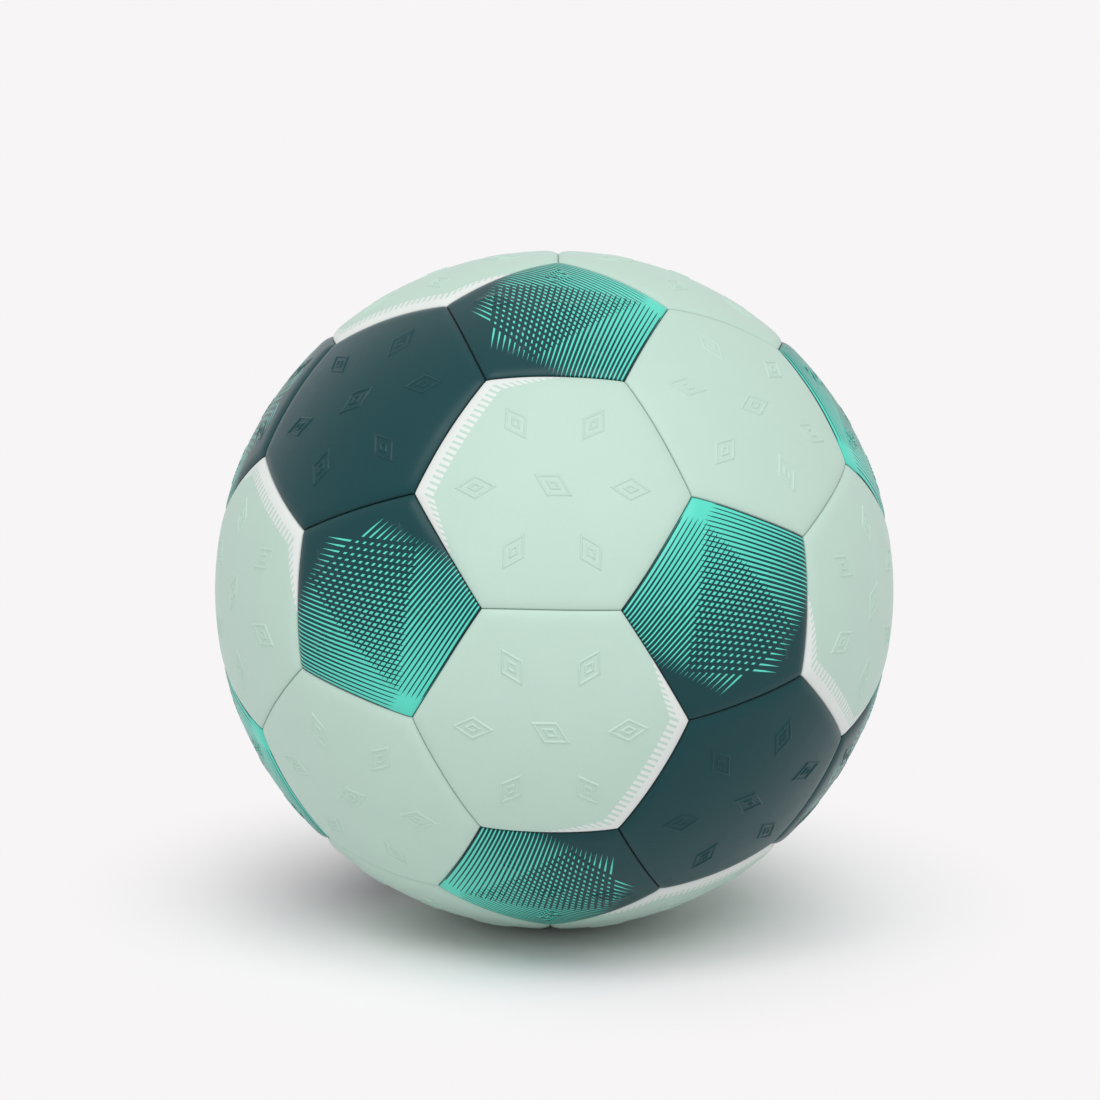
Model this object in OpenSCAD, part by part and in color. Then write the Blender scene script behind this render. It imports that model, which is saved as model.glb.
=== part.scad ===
// Stitched handball: 20 hexagon and 12 pentagon panels, each a cover with foam and a lining
// behind it, sewn at their turned-in edges round an inflated bladder with a needle valve.
// The origin is the ball's centre. +Z is up as the ball lies, on the point where three panels
// meet, and -Y is the side that faces the viewer. Millimetres.

/* [Ball] */
// Diameter over the crowns of the panels
ball_d = 175; // [160:1:190]
// Width of a panel's rolled shoulder, from the seam to the crown
shoulder_w = 3.2; // [2.4:0.1:4.2]
// Depth of the groove at a seam, below the crowns
groove_depth = 1.2; // [0.8:0.1:1.6]
// Slope at which the shoulder's arc leaves the crown, in degrees
shoulder_slope = 8; // [5:1:12]
// Gap between the turned-in edges of two neighbouring panels
seam_gap = 0.2; // [0.1:0.05:0.3]

/* [Panel layers] */
// Thickness of the cover's skin
cover_t = 1.2; // [0.9:0.05:1.5]
// Thickness of the cover's edge where it is turned in
hem_t = 1.2; // [0.9:0.05:1.5]
// Thickness of the foam behind the cover
foam_t = 2; // [1.5:0.1:3]
// Thickness of the woven lining behind the foam
lining_t = 0.8; // [0.5:0.1:1.2]
// Clearance between one layer and the next
layer_gap = 0.05; // [0.03:0.01:0.1]

/* [Stitching] */
// Diameter of the waxed thread
thread_d = 0.8; // [0.6:0.05:1]
// Diameter of the thread where it is pulled tight through an edge
tight_thread_d = 0.6; // [0.4:0.05:0.7]
// Clearance round the thread, in its holes and beside the edges
thread_gap = 0.05; // [0.03:0.01:0.1]
// Number of stitches along one seam
stitches = 7; // [5:1:9]
// Stretch at each end of a seam that has no stitches
seam_end = 2.6; // [2.2:0.1:4]
// Length of thread past the last hole at each end of a seam
thread_tail = 0.6; // [0.4:0.1:0.8]
// Width of turned-in edge left below the thread
hem_below_thread = 0.25; // [0.2:0.05:1]

/* [Bladder] */
// Wall thickness of the bladder
bladder_t = 0.9; // [0.7:0.1:1.3]
// Clearance between the bladder and the turned-in edges
bladder_gap = 0.2; // [0.1:0.05:0.4]

/* [Valve] */
// Diameter of the hole through the valve panel's cover, foam and lining
valve_hole_d = 9; // [8:0.1:11]
// Clearance round the valve's neck in that hole, and round the barrel in the bladder
valve_gap = 0.1; // [0.05:0.05:0.2]
// Depth of the valve's mouth below the cover
valve_recess = 0.5; // [0.2:0.1:0.9]
// Diameter of the flange that seats the valve on the bladder
flange_d = 26; // [18:1:32]
// Diameter of the barrel inside the bladder
barrel_d = 10; // [9:0.5:13]
// Length of the barrel below the bladder's outside
barrel_l = 15; // [11:1:20]
// Thickness of the barrel's floor
barrel_floor_t = 1.5; // [1:0.1:2.5]
// Diameter of the plug in the barrel
plug_d = 5; // [4.4:0.1:5.6]
// Diameter of the collar that holds the plug in the barrel
collar_d = 6.8; // [6:0.1:7.4]
// Length of the collar
collar_l = 2.4; // [1.5:0.1:4]
// Depth of the collar's middle below the bladder's outside
collar_depth = 5; // [4:0.5:6]
// Clearance of the plug in the barrel
plug_gap = 0.04; // [0.03:0.01:0.08]
// Diameter of the inflation needle's bore
needle_d = 2; // [1.6:0.1:2.4]
// Diameter of the lead-in at the mouth of the bore
lead_in_d = 3.4; // [2.8:0.1:4]
// Depth of the lead-in
lead_in_l = 0.8; // [0.5:0.1:1.5]
// Extra width of the hole through the barrel's floor, over the bore
floor_hole_extra = 0.6; // [0.4:0.1:1]

/* [Hidden] */
$fn = 96;
pent_sides = 5;
hex_sides = 6;
golden = (1 + sqrt(5)) / 2;
cut_past = 0.5; // overrun of cuts, so that no two faces lie on each other

// Radii of the layers, from the crowns inwards
ball_r = ball_d / 2;
cavity_r = ball_r - cover_t;
foam_r = cavity_r - layer_gap;
foam_inner_r = foam_r - foam_t;
lining_r = foam_inner_r - layer_gap;
lining_inner_r = lining_r - lining_t;
stitch_r = lining_inner_r - layer_gap - thread_d / 2;
hem_r = stitch_r - thread_d / 2 - hem_below_thread;
bladder_r = hem_r - bladder_gap;
bladder_inner_r = bladder_r - bladder_t;

// The panels' centres lie over the corners and the faces of an icosahedron
function unit(v) = v / norm(v);
pent_axes = [for (s = [-1, 1], t = [-1, 1])
    each [unit([s, t * golden, 0]), unit([0, s, t * golden]), unit([t * golden, 0, s])]];
last_pent = len(pent_axes) - 1;
neighbour_dot = 1 / sqrt(5);
dot_tolerance = 0.01;
function are_neighbours(a, b) = abs(a * b - neighbour_dot) < dot_tolerance;
pent_pairs = [for (i = [0:last_pent], j = [0:last_pent])
    if (i < j && are_neighbours(pent_axes[i], pent_axes[j])) [pent_axes[i], pent_axes[j]]];
hex_triples = [for (i = [0:last_pent], j = [0:last_pent], k = [0:last_pent])
    let (a = pent_axes[i], b = pent_axes[j], c = pent_axes[k])
    if (i < j && j < k && are_neighbours(a, b) && are_neighbours(b, c) && are_neighbours(a, c))
        [a, b, c]];

// A seam's corner lies a third of the way from one pentagon's centre to the next
function corner_near(a, b) = unit(2 * a + b);
function hex_axis(t) = unit(t[0] + t[1] + t[2]);
function angle_between(a, b) = acos(a * b);
pent_corner_angle = angle_between(pent_pairs[0][0], corner_near(pent_pairs[0][0], pent_pairs[0][1]));
hex_corner_angle = angle_between(
    hex_axis(hex_triples[0]), corner_near(hex_triples[0][0], hex_triples[0][1]));
half_seam_angle = angle_between(
    corner_near(pent_pairs[0][0], pent_pairs[0][1]),
    corner_near(pent_pairs[0][1], pent_pairs[0][0])) / 2;
function corner_angle(sides) = sides == pent_sides ? pent_corner_angle : hex_corner_angle;
function edge_angle(sides) = atan(tan(corner_angle(sides)) * cos(180 / sides));

// The ball lies on a corner, which the seam below the front panels puts under the centre
rest_tilt = half_seam_angle;

// Panels by the side of the icosahedron's inner cube that they face: the eight that face its
// corners are dark and plain by turns, and the other twelve carry a printed band
function cube_sign(t) = let (a = hex_axis(t)) a[0] * a[1] * a[2];
sign_limit_share = 0.1;
dark_hexes = [for (t = hex_triples) if (cube_sign(t) > sign_limit_share) t];
plain_hexes = [for (t = hex_triples) if (cube_sign(t) < -sign_limit_share) t];
banded_hexes = [for (t = hex_triples) if (abs(cube_sign(t)) < sign_limit_share) t];

// The valve sits in the plain panel at the back, on the left and above the middle
valve_axis = unit([-1, 1, 1]);
function holds_valve(axis) = abs(axis * valve_axis - 1) < dot_tolerance;

// Frames: a panel's has Z along its axis and X towards a corner, a seam's has X towards the
// middle of the seam and Z across it
function frame_of(x, z) = let (y = cross(z, x))
    [[x[0], y[0], z[0], 0], [x[1], y[1], z[1], 0], [x[2], y[2], z[2], 0], [0, 0, 0, 1]];
function panel_frame(axis, corner) = frame_of(unit(corner - axis * (corner * axis)), axis);
function seam_frame(a, b) = frame_of(unit(a + b), unit(cross(a, b)));
function neighbours(axis) = [for (b = pent_axes) if (are_neighbours(axis, b)) b];
function middle_neighbour(axis) = neighbours(axis)[floor(pent_sides / 2)];

// Shared shapes

// A ball whose poles and seam line lie away from the panel at +Z
module ball(r) {
    rotate([0, 90, 0]) sphere(r = r);
}

module shell(outer_r, inner_r) {
    difference() {
        ball(outer_r);
        ball(inner_r);
    }
}

// The space over one panel, from the ball's centre out, drawn in from its seams by inset
module panel_space(sides, inset) {
    reach = ball_d;
    translate([0, 0, inset / sin(edge_angle(sides))])
        cylinder(h = reach, r1 = 0, r2 = reach * tan(corner_angle(sides)), $fn = sides);
}

module at_edges(sides) {
    for (k = [0.5:1:sides]) rotate([0, edge_angle(sides) - 90, k * 360 / sides]) children();
}

module in_ball_position() {
    rotate([-rest_tilt, 0, 0]) children();
}

module on_panel(axis, corner) {
    in_ball_position() multmatrix(panel_frame(axis, corner)) children();
}

module on_seam(a, b) {
    in_ball_position() multmatrix(seam_frame(a, b)) children();
}

module on_valve() {
    valve_panel = [for (t = plain_hexes) if (holds_valve(hex_axis(t))) t][0];
    on_panel(hex_axis(valve_panel), corner_near(valve_panel[0], valve_panel[1])) children();
}

// A hole along the panel's axis, through every layer outside the bladder
module valve_hole() {
    translate([0, 0, bladder_r]) cylinder(h = ball_r, d = valve_hole_d);
}

// Panels

// What is cut off outside one rolled shoulder. The arc runs from the turned-in edge up to
// the crown, which it meets at shoulder_slope.
module shoulder_cut() {
    rise = [groove_depth, shoulder_w - seam_gap / 2];
    half_turn = atan(rise[0] / rise[1]) - shoulder_slope;
    arc_r = norm(rise) / 2 / sin(half_turn);
    arc_centre = [ball_r - arc_r * cos(shoulder_slope), shoulder_w + arc_r * sin(shoulder_slope)];
    sweep = 2 * half_seam_angle + atan(2 * shoulder_w / ball_r);
    rotate([0, 0, -sweep / 2]) rotate_extrude(angle = sweep) difference() {
        translate([ball_r - groove_depth - cut_past, -cut_past])
            square([groove_depth + 2 * cut_past, arc_centre[1] + cut_past]);
        translate(arc_centre) circle(r = arc_r);
    }
}

seam_end_angle = asin(seam_end / stitch_r);
stitch_angles = [for (i = [0:stitches])
    (half_seam_angle - seam_end_angle) * (2 * i / stitches - 1)];

module stitch_holes() {
    for (a = stitch_angles) rotate([0, 0, a]) translate([stitch_r, 0, 0])
        cylinder(h = seam_gap / 2 + hem_t + cut_past, d = tight_thread_d + 2 * thread_gap);
}

// A panel's cover: a curved skin whose edges roll over and turn in along the seams
module cover(sides, with_valve_hole = false) {
    difference() {
        intersection() {
            panel_space(sides, seam_gap / 2);
            shell(ball_r, hem_r);
        }
        intersection() {
            panel_space(sides, seam_gap / 2 + hem_t);
            ball(cavity_r);
        }
        at_edges(sides) shoulder_cut();
        at_edges(sides) stitch_holes();
        if (with_valve_hole) valve_hole();
    }
}

// A flat layer inside a cover
module layer(sides, outer_r, inner_r, with_valve_hole = false) {
    difference() {
        intersection() {
            panel_space(sides, seam_gap / 2 + hem_t + layer_gap);
            shell(outer_r, inner_r);
        }
        if (with_valve_hole) valve_hole();
    }
}

module hexagon_cover(triple) {
    axis = hex_axis(triple);
    on_panel(axis, corner_near(triple[0], triple[1])) cover(hex_sides, holds_valve(axis));
}

module plain_hexagon(i) {
    color([0.80, 0.89, 0.85]) hexagon_cover(plain_hexes[i]);
}

module dark_hexagon(i) {
    color([0.17, 0.30, 0.32]) hexagon_cover(dark_hexes[i]);
}

module banded_hexagon(i) {
    color([0.84, 0.92, 0.88]) hexagon_cover(banded_hexes[i]);
}

module pentagon(i) {
    axis = pent_axes[i];
    color([0.22, 0.60, 0.56]) on_panel(axis, middle_neighbour(axis)) cover(pent_sides);
}

// Layers behind the covers

module hexagon_layers(outer_r, inner_r) {
    for (t = hex_triples) let (axis = hex_axis(t))
        on_panel(axis, corner_near(t[0], t[1]))
            layer(hex_sides, outer_r, inner_r, holds_valve(axis));
}

module pentagon_layers(outer_r, inner_r) {
    for (axis = pent_axes) on_panel(axis, middle_neighbour(axis)) layer(pent_sides, outer_r, inner_r);
}

module hexagon_foam() {
    color([0.93, 0.90, 0.80]) hexagon_layers(foam_r, foam_inner_r);
}

module pentagon_foam() {
    color([0.93, 0.90, 0.80]) pentagon_layers(foam_r, foam_inner_r);
}

module hexagon_lining() {
    color([0.88, 0.88, 0.86]) hexagon_layers(lining_r, lining_inner_r);
}

module pentagon_lining() {
    color([0.88, 0.88, 0.86]) pentagon_layers(lining_r, lining_inner_r);
}

// Stitching

// The thread of one seam, sewn with two needles: a run along the inner side of each edge,
// pressed flat against it, and a length through both edges at every hole
module seam_thread() {
    flat_z = seam_gap / 2 + hem_t + thread_gap;
    run_z = flat_z + thread_d / 4;
    run_angle = 2 * (stitch_angles[stitches] + asin(thread_tail / stitch_r));
    for (side = [0, 1]) mirror([0, 0, side]) rotate([0, 0, -run_angle / 2])
        rotate_extrude(angle = run_angle) intersection() {
            translate([stitch_r, run_z]) circle(d = thread_d);
            translate([stitch_r - thread_d, flat_z]) square([2 * thread_d, thread_d]);
        }
    for (a = stitch_angles) rotate([0, 0, a]) translate([stitch_r, 0, 0])
        cylinder(h = 2 * run_z, d = tight_thread_d, center = true);
}

// Seams between two hexagons lie along the lines between neighbouring pentagons' centres
module hexagon_seam_thread() {
    color([0.90, 0.91, 0.88]) for (p = pent_pairs)
        on_seam(corner_near(p[0], p[1]), corner_near(p[1], p[0])) seam_thread();
}

// Seams round a pentagon, one for each hexagon that touches it
module pentagon_seam_thread() {
    color([0.90, 0.91, 0.88]) for (t = hex_triples, i = [0:2])
        on_seam(corner_near(t[i], t[(i + 1) % 3]), corner_near(t[i], t[(i + 2) % 3])) seam_thread();
}

// Bladder and valve

module bladder() {
    color([0.16, 0.15, 0.14]) difference() {
        in_ball_position() shell(bladder_r, bladder_inner_r);
        on_valve() translate([0, 0, bladder_inner_r - barrel_l])
            cylinder(h = 2 * barrel_l, d = barrel_d + 2 * valve_gap);
    }
}

mouth_z = ball_r - valve_recess;
barrel_end_z = bladder_r - barrel_l;
plug_end_z = barrel_end_z + barrel_floor_t;
collar_z = bladder_r - collar_depth - collar_l / 2;

// The plug's outside, grown by gap all round but at its ends
module plug_form(gap, top_z) {
    translate([0, 0, plug_end_z]) cylinder(h = top_z - plug_end_z, d = plug_d + 2 * gap);
    translate([0, 0, collar_z - gap]) cylinder(h = collar_l + 2 * gap, d = collar_d + 2 * gap);
}

// Rubber boot: a flange on the bladder, a neck out to the panel's hole and a barrel inside
module valve_boot() {
    seat_r = bladder_r + layer_gap;
    color([0.13, 0.14, 0.14]) on_valve() difference() {
        union() {
            intersection() {
                shell(lining_inner_r - layer_gap, seat_r);
                cylinder(h = ball_r, d = flange_d);
            }
            translate([0, 0, bladder_r])
                cylinder(h = mouth_z - bladder_r, d = valve_hole_d - 2 * valve_gap);
            translate([0, 0, barrel_end_z])
                cylinder(h = (seat_r + lining_inner_r) / 2 - barrel_end_z, d = barrel_d);
        }
        plug_form(plug_gap, mouth_z + cut_past);
        translate([0, 0, barrel_end_z - cut_past])
            cylinder(h = barrel_floor_t + 2 * cut_past, d = needle_d + floor_hole_extra);
    }
}

// Soft plug with the needle's bore, which closes by itself when the needle is pulled out
module valve_plug() {
    color([0.24, 0.25, 0.25]) on_valve() difference() {
        plug_form(0, mouth_z);
        translate([0, 0, plug_end_z - cut_past])
            cylinder(h = mouth_z - plug_end_z + 2 * cut_past, d = needle_d);
        translate([0, 0, mouth_z - lead_in_l])
            cylinder(h = lead_in_l, d1 = needle_d, d2 = lead_in_d);
    }
}

for (i = [1:len(plain_hexes)])
    plain_hexagon(i - 1);
for (i = [1:len(dark_hexes)])
    dark_hexagon(i - 1);
for (i = [1:len(banded_hexes)])
    banded_hexagon(i - 1);
for (i = [1:len(pent_axes)])
    pentagon(i - 1);
hexagon_foam();
pentagon_foam();
hexagon_lining();
pentagon_lining();
hexagon_seam_thread();
pentagon_seam_thread();
bladder();
valve_boot();
valve_plug();
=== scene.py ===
"""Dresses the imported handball.

The ball is sewn from 20 hexagon and 12 pentagon covers round a bladder with a needle valve. Each
cover is modelled here as a curved skin whose edges roll over and turn in at the seams, with
embossed lozenges and a printed finish. The layers behind the covers, the bladder and the valve
keep their shape and get their materials. All lengths are in metres.
"""

import logging
import math
from collections.abc import Callable, Iterable
from dataclasses import dataclass, field
from enum import Enum
from itertools import combinations
from typing import Any, Union

import bmesh
import bpy
from bmesh.types import BMEdge, BMFace, BMVert
from mathutils import Color, Matrix, Vector, noise


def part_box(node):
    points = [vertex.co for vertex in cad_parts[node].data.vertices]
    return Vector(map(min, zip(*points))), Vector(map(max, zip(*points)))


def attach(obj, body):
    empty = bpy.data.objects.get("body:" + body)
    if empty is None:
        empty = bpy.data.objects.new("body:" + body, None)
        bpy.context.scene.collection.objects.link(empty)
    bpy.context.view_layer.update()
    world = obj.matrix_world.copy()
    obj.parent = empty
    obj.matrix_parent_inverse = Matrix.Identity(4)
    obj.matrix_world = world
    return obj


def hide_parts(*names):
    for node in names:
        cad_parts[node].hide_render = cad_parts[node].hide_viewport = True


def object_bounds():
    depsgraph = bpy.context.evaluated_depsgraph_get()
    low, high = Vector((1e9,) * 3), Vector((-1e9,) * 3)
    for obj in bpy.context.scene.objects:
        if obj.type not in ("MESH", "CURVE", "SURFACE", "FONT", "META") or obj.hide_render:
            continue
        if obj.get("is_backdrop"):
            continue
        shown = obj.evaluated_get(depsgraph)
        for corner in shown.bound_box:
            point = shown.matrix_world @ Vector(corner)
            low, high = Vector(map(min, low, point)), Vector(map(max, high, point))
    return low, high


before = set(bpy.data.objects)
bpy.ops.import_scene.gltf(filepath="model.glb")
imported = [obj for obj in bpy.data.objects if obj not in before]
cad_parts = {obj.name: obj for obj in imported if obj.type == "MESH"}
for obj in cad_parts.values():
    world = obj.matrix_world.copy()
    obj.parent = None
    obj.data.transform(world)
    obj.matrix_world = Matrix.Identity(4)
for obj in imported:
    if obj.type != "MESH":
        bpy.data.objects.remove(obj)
CAD_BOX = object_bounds()

LOG = logging.getLogger("handball")
MM = 0.001

Colour = tuple[float, float, float]
Operand = Union["Shade", float]


def srgb(red: int, green: int, blue: int) -> Colour:
    """Returns the linear colour that shaders take for one of 0 to 255."""
    return tuple(Color((red / 255, green / 255, blue / 255)).from_srgb_to_scene_linear())


class PanelKind(Enum):
    """The four kinds of panel. The value is the start of their nodes' names."""

    PLAIN = "plain_hexagon"
    DARK = "dark_hexagon"
    BANDED = "banded_hexagon"
    PENTAGON = "pentagon"


@dataclass(frozen=True)
class Panel:
    """Where one panel lies.

    Attributes:
        node: The node that its cover stands for.
        kind: Its kind.
        axis: Unit vector to its centre.
        lead: Unit vector, square to the axis, to the middle of the edge that its print follows.
    """

    node: str
    kind: PanelKind
    axis: Vector
    lead: Vector

    def placement(self) -> Matrix:
        """Returns the turn from a panel's own frame, with +Z out and +Y to the lead edge."""
        across = self.lead.cross(self.axis)
        return Matrix((across, self.lead, self.axis)).transposed().to_4x4()


@dataclass
class PanelLayout:
    """The layout of the 32 panels, which is that of an icosahedron with its corners cut off.

    Attributes:
        golden: The golden ratio, which gives the icosahedron's corners.
        neighbour_dot: Dot product of two neighbouring pentagons' axes.
        tolerance: Room for rounding in comparisons of unit vectors.
        digits: Digits to which nearness is compared, so that the first of equals is taken.
        sign_limit: Product of an axis' coordinates up to which a hexagon is banded.
        pentagons: Axes of the pentagons.
        triples: For each hexagon, the three pentagons round it.
        hexagons: Axes of the hexagons.
    """

    golden: float = (1 + math.sqrt(5)) / 2
    neighbour_dot: float = 1 / math.sqrt(5)
    tolerance: float = 0.01
    digits: int = 6
    sign_limit: float = 0.1
    pentagons: list[Vector] = field(default_factory=list)
    triples: list[tuple[Vector, Vector, Vector]] = field(default_factory=list)
    hexagons: list[Vector] = field(default_factory=list)

    def __post_init__(self) -> None:
        """Works out the panels' axes before the ball is turned to how it lies."""
        for s in (-1, 1):
            for t in (-1, 1):
                corner = Vector((s, t * self.golden, 0)).normalized()
                self.pentagons += [corner, corner.zxy, corner.yzx]
        self.triples = [triple for triple in combinations(self.pentagons, 3)
                        if all(self._near(a, b) for a, b in combinations(triple, 2))]
        self.hexagons = [sum(triple, Vector()).normalized() for triple in self.triples]

    def _near(self, a: Vector, b: Vector) -> bool:
        """Says whether two pentagons' axes are neighbours."""
        return abs(a.dot(b) - self.neighbour_dot) < self.tolerance

    def seam_end(self, a: Vector, b: Vector) -> Vector:
        """Returns the seam corner nearest to pentagon a on the line to pentagon b."""
        return (2 * a + b).normalized()

    def corner_angle(self, kind: PanelKind) -> float:
        """Returns the angle from a panel's axis to its corners."""
        a, b, _ = self.triples[0]
        axis = a if kind is PanelKind.PENTAGON else self.hexagons[0]
        return axis.angle(self.seam_end(a, b))

    def rest_turn(self) -> Matrix:
        """Returns the turn that puts the corner below the front seam under the centre."""
        a, b, _ = self.triples[0]
        half_seam = self.seam_end(a, b).angle(self.seam_end(b, a)) / 2
        return Matrix.Rotation(-half_seam, 3, "X")

    def kind_of(self, hexagon: Vector) -> PanelKind:
        """Returns a hexagon's kind, which depends on the corner or face of a cube it is at."""
        sign = hexagon.x * hexagon.y * hexagon.z
        if abs(sign) < self.sign_limit:
            return PanelKind.BANDED
        return PanelKind.DARK if sign > 0 else PanelKind.PLAIN

    def panels(self) -> list[Panel]:
        """Lists the panels in the order of their nodes.

        Returns:
            The 32 panels as the ball lies.
        """
        groups: dict[PanelKind, list[Vector]] = {kind: [] for kind in PanelKind}
        groups[PanelKind.PENTAGON] = self.pentagons
        for hexagon in self.hexagons:
            groups[self.kind_of(hexagon)].append(hexagon)
        turn = self.rest_turn()
        found = []
        for kind, axes in groups.items():
            banded_next = kind in (PanelKind.PLAIN, PanelKind.DARK)
            leaders = groups[PanelKind.BANDED if banded_next else PanelKind.DARK]
            for number, axis in enumerate(axes, 1):
                leader = max(leaders, key=lambda other: round(axis.dot(other), self.digits))
                lead = (leader - axis * axis.dot(leader)).normalized()
                found.append(Panel(f"{kind.value}_{number}", kind, turn @ axis, turn @ lead))
        return found


@dataclass(frozen=True)
class CoverSizes:
    """Sizes of a cover.

    Attributes:
        crown: Radius of the crowns.
        hem_radius: Radius at which the turned-in edge ends.
        skin: Thickness of the cover.
        thinnest: Its thickness where it is thinnest.
        seam_gap: Gap between two neighbouring turned-in edges.
        shoulder_width: Distance from a seam at which the crown starts.
        shoulder_depth: How far the shoulder falls before its rounded edge.
        shoulder_power: How much of that fall is close to the seam.
        edge_radius: Radius of the rounded edge beside the seam.
        corner_power: How the falls of two seams add up at a corner, where 1 adds them whole.
        rings: Number of mesh rings over the shoulder.
        ring_power: How much closer the rings lie beside the seam.
        side_parts: Number of mesh edges along one side.
        grid_pitch: Pitch of the mesh over the crown.
        grid_offset: Offset of that mesh, which keeps its lines off the corners of the lozenges.
        cut_reach: Distance within which a cut of that mesh takes a corner that is there already.
        inner_reach: Depth below the crown to which the skin's inner side is fitted to the foam.
        sharp_from: Angle between two faces from which their edge is shown sharp.
    """

    crown: float
    hem_radius: float
    skin: float = 0.85 * MM
    thinnest: float = 0.2 * MM
    seam_gap: float = 0.06 * MM
    shoulder_width: float = 4.4 * MM
    shoulder_depth: float = 0.8 * MM
    shoulder_power: float = 3.0
    edge_radius: float = 0.3 * MM
    corner_power: float = 4.0
    rings: int = 11
    ring_power: float = 1.8
    side_parts: int = 26
    grid_pitch: float = 2.4 * MM
    grid_offset: float = 0.37 * MM
    cut_reach: float = 0.001 * MM
    inner_reach: float = 2.55 * MM
    sharp_from: float = math.radians(30)

    def fall(self, distance: float) -> float:
        """Returns how far the surface lies below the crown at a distance from a seam."""
        share = max(0.0, 1 - distance / self.shoulder_width)
        short = max(0.0, self.edge_radius - max(0.0, distance - self.seam_gap / 2))
        edge = self.edge_radius - math.sqrt(self.edge_radius**2 - short**2)
        return self.shoulder_depth * share**self.shoulder_power + edge

    def falls_together(self, distances: Iterable[float]) -> float:
        """Returns the fall at a place with these distances from the seams round it."""
        total = sum(self.fall(distance) ** self.corner_power for distance in distances)
        return total ** (1 / self.corner_power)


@dataclass(frozen=True)
class LozengeSizes:
    """Sizes of the embossed lozenges, each of two outlines, one inside the other.

    Attributes:
        ring: Distance of the outer lozenges from the panel's centre.
        ridge_height: Height of an outline's raised line.
        ridge_width: Width of that line.
        ridge_steps: Mesh rings over it.
        half_length: Half of the lozenge's longer diagonal.
        half_width: Half of its shorter diagonal.
        inner_inset: Distance from the outer outline to the inner one.
        side_parts: Number of mesh edges along one side.
    """

    ring: float
    ridge_height: float
    ridge_width: float = 0.8 * MM
    ridge_steps: int = 4
    half_length: float = 5.8 * MM
    half_width: float = 3.35 * MM
    inner_inset: float = 1.65 * MM
    side_parts: int = 4

    def rings(self) -> list[tuple[float, float]]:
        """Lists the mesh rings inside a lozenge's outer outline.

        Returns:
            For each ring, what is left of that outline's size, and the ring's height.
        """
        half_side = math.hypot(self.half_length, self.half_width)
        half_span = self.half_length * self.half_width / half_side
        found = []
        for start in (0.0, self.inner_inset):
            for step in range(self.ridge_steps + 1):
                part = step / self.ridge_steps
                share = 1 - (start + part * self.ridge_width) / half_span
                found.append((share, self.ridge_height * math.sin(math.pi * part)))
        return found[1:]


@dataclass(frozen=True)
class ValveHoleSizes:
    """Sizes of the hole in the valve's panel.

    Attributes:
        radius: Radius of the hole.
        rim: Radius of its rounded rim.
        rim_steps: Mesh rings over the rim.
        parts: Number of mesh edges round it.
    """

    radius: float = 4.5 * MM
    rim: float = 0.45 * MM
    rim_steps: int = 5
    parts: int = 64


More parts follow.
